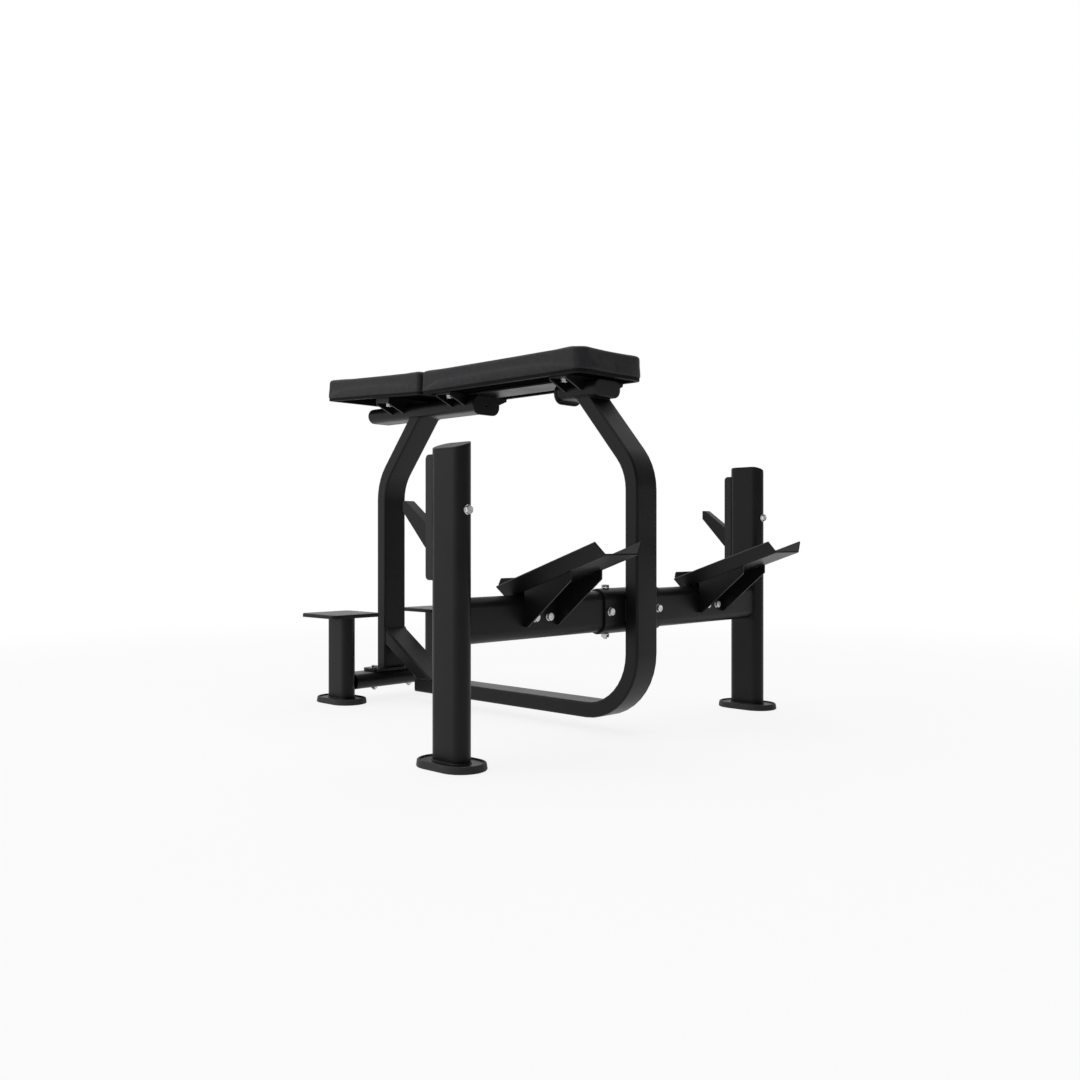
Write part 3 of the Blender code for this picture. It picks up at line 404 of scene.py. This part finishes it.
def bolt_rings(length, nut):
    """Rings of a bolt from its head's dished top at z = 0 down to its end at z = -length."""
    seat = -HEX_HEIGHT - WASHER_THICK
    rings = [
        round_ring(DISH_FLOOR, -HEAD_DISH),
        round_ring(DISH_RIM, 0.0),
        round_ring(HEX_CROWN, 0.0),
        hex_ring(0.0, HEX_CROWN),
        hex_ring(-HEX_HEIGHT),
    ]
    rings += washer_rings(seat, -HEX_HEIGHT)
    rings.append(round_ring(SHANK_RADIUS, seat))
    if nut:
        nut_end = -length + BOLT_TAIL
        nut_start = nut_end + HEX_HEIGHT
        rings.append(round_ring(SHANK_RADIUS, nut_start + WASHER_THICK))
        rings += washer_rings(nut_start, nut_start + WASHER_THICK)
        rings.append(hex_ring(nut_start))
        rings.append(hex_ring(nut_end, HEX_CROWN, -1.0))
        rings.append(round_ring(HEX_CROWN, nut_end))
        rings.append(round_ring(SHANK_RADIUS, nut_end))
        z = nut_end
        while z - THREAD_PITCH > -length:
            rings.append(round_ring(SHANK_RADIUS - THREAD_DEPTH, z - THREAD_PITCH / 2))
            rings.append(round_ring(SHANK_RADIUS, z - THREAD_PITCH))
            z -= THREAD_PITCH
    rings.append(round_ring(SHANK_RADIUS - THREAD_DEPTH, -length))
    return rings


def make_bolts():
    """A turned bolt in place of each plain CAD fastener."""
    facing = {
        "guard_bolt": ((1, 0, 0), False),
        "saddle_face_bolt": ((1, 0, 0), True),
        "saddle_crown_bolt": ((0, 0, 1), True),
        "tray_bolt_a": ((1, 0, 0), True),
        "tray_bolt_b": ((1, 0, 0), True),
        "flange_bolt": ((0, 0, 1), True),
        "bracket_near_bolt": ((0, 0, -1), False),
        "bracket_far_bolt": ((0, 0, -1), False),
    }
    for node in sorted(n for n, slot in SLOTS.items() if slot == "zinc"):
        direction, nut = next(value for key, value in facing.items() if node.endswith(key))
        low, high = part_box(node)
        middle = (low + high) / 2
        head = Vector(direction)
        length = abs((high - low).dot(head))
        turn = head.to_track_quat("Z", "Y").to_matrix().to_4x4()
        matrix = Matrix.Translation(middle + head * length / 2) @ turn
        rings = [[matrix @ Vector(p) for p in ring] for ring in bolt_rings(length, nut)]
        points, faces = skin(rings)
        piece = new_piece(f"{node}_turned", points, faces, "zinc", 25.0)
        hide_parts(node)


# Pads

PAD_WIDTH = 0.256
PAD_THICK = 0.065
PAD_BOARD = 0.015
PAD_BAND = 0.0065
BOARD_INSET = 0.004
PAD_CORNER = 0.014
LONG_PAD_FRONT_CORNER = 0.033
PAD_JOINT = 0.006
SHORT_PAD_LENGTH = 0.448
SHORT_PAD_TILT = math.radians(2.6)
SHORT_PAD_LIFT = 0.001
EDGE_RADIUS = 0.008
CROWN = 0.0006
SIDE_DRAW = 0.0018
START_INSET = 0.0004
VOXEL = 0.0045
SWELL_CAP = 0.0022
SWELL_FRAMES = 20
HELD_BAND = 0.003
OUTLINE_STEP = 0.006
LEAST_CORNER = 0.0035
LEVEL_STEPS = 6
LOWER_EASE = 0.0006
SIDE_START = PAD_BAND + 0.002
CROWN_SHARE = 0.6
POCKET_BELOW = 0.01
HEM_INSET = 0.0160
HEM_OUTSIDE = 0.0031
HEM_INSIDE = 0.0038
HEM_TURN = 0.0035
HEM_FOLD = 0.0046
HEM_EDGE = 0.0010
HEM_TUCK = 0.0006
HEM_UNDERSIDE = -0.0008
HEM_TOPSIDE = -0.0001


def pad_outline(length, front_corner, inset):
    """Outline of a pad, its front edge at X = 0 and its sides drawn in between corners."""
    side = PAD_WIDTH / 2 - inset
    back = -length + inset
    front = -inset
    rear_round = max(PAD_CORNER - inset, LEAST_CORNER)
    front_round = max(front_corner - inset, LEAST_CORNER)
    quarter = math.pi / 2
    corners = [
        arc((back + rear_round, -side + rear_round), rear_round, 2 * quarter, 3 * quarter, 6),
        arc((front - front_round, -side + front_round), front_round, 3 * quarter, 4 * quarter, 8),
        arc((front - front_round, side - front_round), front_round, 0.0, quarter, 8),
        arc((back + rear_round, side - rear_round), rear_round, quarter, 2 * quarter, 6),
    ]
    outline = []
    for i, corner in enumerate(corners):
        outline += corner
        begin = Vector(corner[-1])
        span = Vector(corners[(i + 1) % 4][0]) - begin
        inward = Vector((-span.y, span.x)).normalized()
        steps = max(2, round((length if i % 2 == 0 else PAD_WIDTH) / OUTLINE_STEP))
        for j in range(1, steps):
            share = j / steps
            draw = inward * SIDE_DRAW * math.sin(math.pi * share) ** 2
            outline.append(tuple(begin + span * share + draw))
    return outline


def at_level(outline, z):
    return [Vector((x, y, z)) for x, y in outline]


def pad_start(length, front_corner):
    """Rings of a pad before it swells: underside, side, rounded edge and low crown."""
    levels = [(START_INSET + LOWER_EASE, PAD_BAND - LOWER_EASE), (START_INSET, SIDE_START)]
    shoulder = PAD_THICK - CROWN - EDGE_RADIUS
    steps = range(1, LEVEL_STEPS + 1)
    for i in steps:
        levels.append((START_INSET, SIDE_START + (shoulder - SIDE_START) * i / LEVEL_STEPS))
    for i in steps:
        angle = math.pi / 2 * i / LEVEL_STEPS
        inset = START_INSET + EDGE_RADIUS * (1 - math.cos(angle))
        levels.append((inset, shoulder + EDGE_RADIUS * math.sin(angle) - START_INSET * i / LEVEL_STEPS))
    reach = PAD_WIDTH / 2 - 2 * EDGE_RADIUS - START_INSET
    flat = PAD_THICK - CROWN - START_INSET
    for i in steps:
        share = i / LEVEL_STEPS
        rise = CROWN * math.sin(math.pi / 2 * share) * CROWN_SHARE
        levels.append((START_INSET + EDGE_RADIUS + reach * share, flat + rise))
    rings = []
    for inset, z in levels:
        rings.append(at_level(pad_outline(length, front_corner, inset), z))
    return rings


def applied(obj):
    """Bakes an object's modifiers into its mesh."""
    depsgraph = bpy.context.evaluated_depsgraph_get()
    mesh = bpy.data.meshes.new_from_object(obj.evaluated_get(depsgraph))
    obj.modifiers.clear()
    obj.data = mesh


def swell(obj):
    """Blows the vinyl up against its held lower edge as cloth, and limits how far each point moves."""
    start = [v.co.copy() for v in obj.data.vertices]
    held = obj.vertex_groups.new(name="held")
    held.add([i for i, p in enumerate(start) if p.z < PAD_BAND + HELD_BAND], 1.0, "REPLACE")
    cloth = obj.modifiers.new("cloth", "CLOTH")
    cloth.settings.quality = 5
    cloth.settings.mass = 0.02
    cloth.settings.tension_stiffness = 40.0
    cloth.settings.compression_stiffness = 40.0
    cloth.settings.shear_stiffness = 20.0
    cloth.settings.bending_stiffness = 2.0
    cloth.settings.use_pressure = True
    cloth.settings.uniform_pressure_force = 4.0
    cloth.settings.vertex_group_mass = held.name
    cloth.settings.effector_weights.gravity = 0.0
    cloth.collision_settings.use_collision = False
    cloth.point_cache.frame_start = 1
    cloth.point_cache.frame_end = SWELL_FRAMES
    for number in range(1, SWELL_FRAMES + 1):
        SCENE.frame_set(number)
    applied(obj)
    SCENE.frame_set(1)
    obj.vertex_groups.clear()
    for vertex, place in zip(obj.data.vertices, start):
        move = vertex.co - place
        if move.length > SWELL_CAP:
            vertex.co = place + move.normalized() * SWELL_CAP


def make_cushion(name, length, front_corner, matrix):
    """A cushion: remeshed, swollen as cloth, pocketed for its board, and placed."""
    points, faces = skin(pad_start(length, front_corner))
    cushion = new_piece(f"{name}_upholstery", points, faces, "vinyl")
    remesh = cushion.modifiers.new("remesh", "REMESH")
    remesh.mode = "VOXEL"
    remesh.voxel_size = VOXEL
    applied(cushion)
    swell(cushion)
    smooth = cushion.modifiers.new("smooth", "SMOOTH")
    smooth.factor = 0.5
    smooth.iterations = 1
    rounder = cushion.modifiers.new("rounder", "SUBSURF")
    rounder.levels = 1
    rounder.render_levels = 1
    applied(cushion)
    pocket = pad_outline(length, front_corner, BOARD_INSET - GAP)
    points, faces = skin([at_level(pocket, z) for z in (PAD_BAND - POCKET_BELOW, PAD_BOARD + GAP)])
    mesh = bpy.data.meshes.new(f"{name}_pocket")
    mesh.from_pydata([tuple(p) for p in points], [], faces)
    cutter = bpy.data.objects.new(f"{name}_pocket", mesh)
    SCENE.collection.objects.link(cutter)
    cut = cushion.modifiers.new("pocket", "BOOLEAN")
    cut.operation = "DIFFERENCE"
    cut.solver = "EXACT"
    cut.object = cutter
    applied(cushion)
    bpy.data.objects.remove(cutter)
    cushion.data.materials.clear()
    cushion.data.materials.append(MATERIALS["vinyl"])
    cushion.data.shade_smooth()
    cushion.data.set_sharp_from_angle(angle=math.radians(50.0))
    cushion.data.transform(matrix)
    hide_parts(f"{name}_cushion")


def make_hem(name, length, front_corner, matrix):
    """Vinyl pulled round the board's edge and turned in under it, clear of the brackets."""
    section = [
        (HEM_OUTSIDE, PAD_BAND + HEM_TUCK),
        (HEM_OUTSIDE, HEM_EDGE),
        (HEM_TURN, 0.0),
        (HEM_FOLD, HEM_UNDERSIDE),
        (HEM_INSET, HEM_UNDERSIDE),
        (HEM_INSET, HEM_TOPSIDE),
        (HEM_FOLD, HEM_TOPSIDE),
        (HEM_INSIDE, HEM_EDGE),
        (HEM_INSIDE, PAD_BAND + HEM_TUCK),
    ]
    rings = []
    for inset, z in section:
        rings.append([matrix @ p for p in at_level(pad_outline(length, front_corner, inset), z)])
    points, faces = skin(rings, True)
    hem = new_piece(f"{name}_hem", points, faces, "vinyl")
    # Painted shade: the hem takes the darker, duller copy of the cushion vinyl.
    hem.data.materials[0] = HEM_VINYL_PAINTED_SHADE


def make_pads():
    low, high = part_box("long_pad_board")
    base = low.z
    front = high.x + BOARD_INSET
    length = high.x - low.x + 2 * BOARD_INSET
    level = Matrix.Translation((front, 0.0, base))
    make_cushion("long_pad", length, LONG_PAD_FRONT_CORNER, level)
    make_hem("long_pad", length, LONG_PAD_FRONT_CORNER, level)
    hinge = Vector((front - length - PAD_JOINT, 0.0, base + SHORT_PAD_LIFT))
    tilted = Matrix.Translation(hinge) @ Matrix.Rotation(SHORT_PAD_TILT, 4, "Y")
    make_cushion("short_pad", SHORT_PAD_LENGTH, PAD_CORNER, tilted)
    make_hem("short_pad", SHORT_PAD_LENGTH, PAD_CORNER, tilted)


# Weld beads

BEAD_RADIUS = 0.0026
BEAD_STEP = 0.0012
BEAD_RIPPLE = 0.10
BEAD_RIPPLE_LENGTH = 0.0042
BEAD_POINTS = 8
BRACE_BEAD = BEAD_RADIUS * 0.8
SADDLE_BEAD_INSET = BOX_CORNER * 0.4
KNEE_BEND = 0.140
KNEE_ANGLE = math.radians(40.0)
KNEE_DROP = 0.2374
BRACE_ANGLE = math.radians(32.5)


def spaced(path, closed):
    """Points along a path at an even step."""
    ends = path + path[:1] if closed else path
    lengths = [(b - a).length for a, b in zip(ends, ends[1:])]
    count = max(2, round(sum(lengths) / BEAD_STEP))
    step = sum(lengths) / count
    points = []
    i = 0
    passed = 0.0
    for j in range(count if closed else count + 1):
        at = step * j
        while i < len(lengths) - 1 and passed + lengths[i] < at:
            passed += lengths[i]
            i += 1
        points.append(ends[i].lerp(ends[i + 1], min(1.0, (at - passed) / max(lengths[i], 1e-9))))
    return points, step


def weld(name, path, closed=True, radius=BEAD_RADIUS):
    """A rippled bead along a path of points given from the uprights' middle."""
    points, step = spaced([Vector(p) + Vector((UPRIGHTS, 0.0, 0.0)) for p in path], closed)
    count = len(points)
    rings = []
    for i, point in enumerate(points):
        before = points[i - 1] if closed or i else point
        after = points[(i + 1) % count] if closed or i < count - 1 else point
        along = (after - before).normalized()
        side = along.orthogonal().normalized()
        if abs(along.z) < 0.9:
            side = along.cross(Vector((0.0, 0.0, 1.0))).normalized()
        up = side.cross(along)
        wave = math.sin(2 * math.pi * i * step / BEAD_RIPPLE_LENGTH)
        size = radius * (1 + BEAD_RIPPLE * wave)
        if not closed:
            size *= min(1.0, 0.4 + 0.2 * min(i, count - 1 - i))
        turns = [2 * math.pi * (j + 0.5) / BEAD_POINTS for j in range(BEAD_POINTS)]
        rings.append([point + size * (math.cos(t) * side + math.sin(t) * up) for t in turns])
    points, faces = skin(rings, closed)
    new_piece(f"weld_{name}", points, faces, "powder_coat", 80.0)


def oval_points():
    """Outline of the flat-oval tube, its long side along the first axis."""
    quarter = math.pi / 2
    right = arc((OVAL_FLAT, 0.0), OVAL_SHORT / 2, -quarter, quarter, 24)
    left = arc((-OVAL_FLAT, 0.0), OVAL_SHORT / 2, quarter, 3 * quarter, 24)
    return right + left


def box_points(depth, width):
    """Outline of a box tube with rounded corners."""
    quarter = math.pi / 2
    a = depth / 2 - BOX_CORNER
    b = width / 2 - BOX_CORNER
    outline = []
    for i, (x, y) in enumerate(((a, b), (-a, b), (-a, -b), (a, -b))):
        outline += arc((x, y), BOX_CORNER, i * quarter, (i + 1) * quarter, 6)
    return outline


def flank(distance, clearance=0.0):
    """How far a flat-oval tube's side stands off its middle, at a distance along its long axis."""
    beyond = max(0.0, abs(distance) - OVAL_FLAT)
    return math.sqrt((OVAL_SHORT / 2 + clearance) ** 2 - beyond ** 2)


def make_welds():
    steps_x = STEPS_X - UPRIGHTS
    for name, x, y in (("upright", 0.0, UPRIGHT_Y), ("step_post", steps_x, STEP_Y)):
        for side, sign in (("near", -1), ("far", 1)):
            plate_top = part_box(f"{side}_{name}")[0].z + BASE_PLATE_THICK
            weld(f"{side}_{name}_base", [(x + a, sign * y + b, plate_top) for a, b in oval_points()])
    plate_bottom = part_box("near_step_plate")[0].z
    beam_low, beam_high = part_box("cross_beam")
    beam_x = (beam_low.x + beam_high.x) / 2 - UPRIGHTS
    beam_z = (beam_low.z + beam_high.z) / 2
    base_low, base_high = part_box("base_cross_tube")
    for side, sign in (("near", -1), ("far", 1)):
        post = [(steps_x + a, sign * STEP_Y + b, plate_bottom) for a, b in oval_points()]
        weld(f"{side}_step_plate", post)
        rim = [(beam_x + b, beam_z + a) for a, b in oval_points()]
        weld(f"{side}_beam_end", [(x, sign * (UPRIGHT_Y - flank(x, GAP)), z) for x, z in rim])
        for level, z in (("top", base_high.z), ("bottom", base_low.z)):
            y = sign * base_high.y
            path = [(steps_x - OVAL_FLAT, y, z), (steps_x + OVAL_FLAT, y, z)]
            weld(f"{side}_base_tube_{level}", path, False)

    rail_low, rail_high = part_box("front_rail")
    rail_z = (rail_low.z + rail_high.z) / 2
    knee_run = KNEE_BEND * (1 - math.cos(KNEE_ANGLE))
    lean = (KNEE_DROP - KNEE_BEND * math.sin(KNEE_ANGLE)) * math.tan(KNEE_ANGLE)
    saddle_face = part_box("beam_saddle")[1].x - UPRIGHTS
    front_x = saddle_face + GAP + BOX_DEPTH / 2
    rear_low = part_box("rear_frame_tube")[0]
    rear_x = rear_low.x - UPRIGHTS + BOX_DEPTH / 2
    for name, x, hand in (("front_tube_top", front_x, -1.0), ("rear_tube_top", rear_x, 1.0)):
        top = x + hand * (knee_run + lean)
        path = []
        for a, b in box_points(BOX_DEPTH, BOX_WIDTH):
            rise = rail_z - flank(b) - rail_low.z
            along = a / math.cos(KNEE_ANGLE) + hand * rise * math.tan(KNEE_ANGLE)
            path.append((top + along, b, rail_low.z + rise))
        weld(name, path)
    weld("rear_tube_foot", [(rear_x + a, b, rear_low.z) for a, b in box_points(BOX_DEPTH, BOX_WIDTH)])

    brace_low, brace_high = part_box("diagonal_brace")
    brace_top = brace_high.z - BOX_DEPTH / 2 / math.cos(BRACE_ANGLE)
    landing = brace_high.x - UPRIGHTS - BOX_DEPTH / 2 / math.sin(BRACE_ANGLE)
    upper = box_points(BOX_DEPTH / math.cos(BRACE_ANGLE), BOX_WIDTH)
    lower = box_points(BOX_DEPTH / math.sin(BRACE_ANGLE), BOX_WIDTH)
    top_path = [(brace_low.x - UPRIGHTS, b, brace_top + a) for a, b in upper]
    weld("brace_top", top_path, True, BRACE_BEAD)
    weld("brace_foot", [(landing + a, b, brace_low.z) for a, b in lower], True, BRACE_BEAD)

    for side, sign in (("near", -1), ("far", 1)):
        y = sign * (BOX_WIDTH / 2 - SADDLE_BEAD_INSET)
        path = [(saddle_face + SADDLE_BEAD_INSET, y, beam_z + OVAL_FLAT * e) for e in (-1, 1)]
        weld(f"{side}_saddle_tube", path, False)

    for name in ("front_rail", "rear_rail"):
        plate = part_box(f"{name}_end_plate")
        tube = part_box(name)
        after = sum(plate, Vector()).x > sum(tube, Vector()).x
        x = (plate[0].x if after else plate[1].x) - UPRIGHTS
        weld(f"{name}_end_plate", [(x, a, rail_z + b) for a, b in oval_points()])


# Stage, light and camera

FLOOR_REACH = 30.0
FLOOR_COLOUR = (0.85, 0.85, 0.85, 1.0)
FLOOR_WHITE_NEAR = 0.84
FLOOR_WHITE_FROM = 1.2
FLOOR_WHITE_TO = 4.0
WHITE = (1.0, 1.0, 1.0, 1.0)
SURROUND_WHITE_AT = -0.27
SURROUND_DIM_AT = 0.55
SURROUND_DIM = 0.16
LAMPS = [
    ("left_softbox", (-1.6, -3.2, 2.0), (0.0, 0.0, 0.5), 2.4, 9.0),
    ("top_softbox", (0.2, 0.0, 3.4), (0.0, 0.0, 0.0), 2.6, 34.0),
]


def make_floor():
    """Pale floor with the object's soft shadow, blending into the white surround further out."""
    mesh = bpy.data.meshes.new("floor")
    corners = [(x * FLOOR_REACH, y * FLOOR_REACH, 0.0) for x, y in ((-1, -1), (1, -1), (1, 1), (-1, 1))]
    mesh.from_pydata(corners, [], [(0, 1, 2, 3)])
    floor = bpy.data.objects.new("floor", mesh)
    SCENE.collection.objects.link(floor)
    material = bpy.data.materials.new("pale_floor")
    material.use_nodes = True
    tree = material.node_tree
    tree.nodes.clear()
    output = tree.nodes.new("ShaderNodeOutputMaterial")
    paint = tree.nodes.new("ShaderNodeBsdfDiffuse")
    paint.inputs["Color"].default_value = FLOOR_COLOUR
    white = tree.nodes.new("ShaderNodeEmission")
    white.inputs["Color"].default_value = WHITE
    white.inputs["Strength"].default_value = 1.0
    place = tree.nodes.new("ShaderNodeTexCoord")
    distance = tree.nodes.new("ShaderNodeVectorMath")
    distance.operation = "LENGTH"
    whiter = tree.nodes.new("ShaderNodeMapRange")
    whiter.interpolation_type = "SMOOTHSTEP"
    whiter.inputs["From Min"].default_value = FLOOR_WHITE_FROM
    whiter.inputs["From Max"].default_value = FLOOR_WHITE_TO
    whiter.inputs["To Min"].default_value = FLOOR_WHITE_NEAR
    rays = tree.nodes.new("ShaderNodeLightPath")
    seen = tree.nodes.new("ShaderNodeMath")
    seen.operation = "MAXIMUM"
    mirrored = tree.nodes.new("ShaderNodeMath")
    mirrored.operation = "MAXIMUM"
    share = tree.nodes.new("ShaderNodeMath")
    share.operation = "MULTIPLY"
    mix = tree.nodes.new("ShaderNodeMixShader")
    tree.links.new(place.outputs["Object"], distance.inputs[0])
    tree.links.new(distance.outputs["Value"], whiter.inputs["Value"])
    tree.links.new(rays.outputs["Is Camera Ray"], seen.inputs[0])
    tree.links.new(rays.outputs["Is Transmission Ray"], seen.inputs[1])
    tree.links.new(seen.outputs["Value"], mirrored.inputs[0])
    tree.links.new(rays.outputs["Is Glossy Ray"], mirrored.inputs[1])
    tree.links.new(mirrored.outputs["Value"], share.inputs[0])
    tree.links.new(whiter.outputs["Result"], share.inputs[1])
    tree.links.new(share.outputs["Value"], mix.inputs["Fac"])
    tree.links.new(paint.outputs["BSDF"], mix.inputs[1])
    tree.links.new(white.outputs["Emission"], mix.inputs[2])
    tree.links.new(mix.outputs["Shader"], output.inputs["Surface"])
    mesh.materials.append(material)


def make_world():
    """Studio surround: white on the left and behind the object, grey on the right."""
    world = bpy.data.worlds.new("studio")
    SCENE.world = world
    world.use_nodes = True
    tree = world.node_tree
    tree.nodes.clear()
    output = tree.nodes.new("ShaderNodeOutputWorld")
    place = tree.nodes.new("ShaderNodeTexCoord")
    split = tree.nodes.new("ShaderNodeSeparateXYZ")
    across = tree.nodes.new("ShaderNodeMapRange")
    across.interpolation_type = "SMOOTHSTEP"
    across.inputs["From Min"].default_value = SURROUND_WHITE_AT
    across.inputs["From Max"].default_value = SURROUND_DIM_AT
    across.inputs["To Min"].default_value = 1.0
    across.inputs["To Max"].default_value = SURROUND_DIM
    studio = tree.nodes.new("ShaderNodeBackground")
    studio.inputs["Color"].default_value = WHITE
    tree.links.new(place.outputs["Generated"], split.inputs["Vector"])
    tree.links.new(split.outputs["X"], across.inputs["Value"])
    tree.links.new(across.outputs["Result"], studio.inputs["Strength"])
    tree.links.new(studio.outputs["Background"], output.inputs["Surface"])


def make_lamp(name, place, aim, size, watts):
    data = bpy.data.lights.new(name, "AREA")
    data.shape = "SQUARE"
    data.size = size
    data.energy = watts
    lamp = bpy.data.objects.new(name, data)
    SCENE.collection.objects.link(lamp)
    lamp.location = place
    lamp.rotation_euler = (Vector(aim) - Vector(place)).to_track_quat("-Z", "Y").to_euler()


def make_studio():
    make_floor()
    make_world()
    for lamp in LAMPS:
        make_lamp(*lamp)
    data = bpy.data.cameras.new("camera")
    data.sensor_width = SENSOR_WIDTH
    data.lens = CAMERA_LENS
    camera = bpy.data.objects.new("camera", data)
    SCENE.collection.objects.link(camera)
    camera.location = (CAMERA_PLACE[0] + UPRIGHTS, CAMERA_PLACE[1], CAMERA_PLACE[2])
    camera.rotation_euler = (math.pi / 2, 0.0, CAMERA_TURN)
    SCENE.camera = camera
    SCENE.view_settings.view_transform = "Standard"


dress_nodes()
make_bolts()
make_pads()
make_welds()
make_studio()
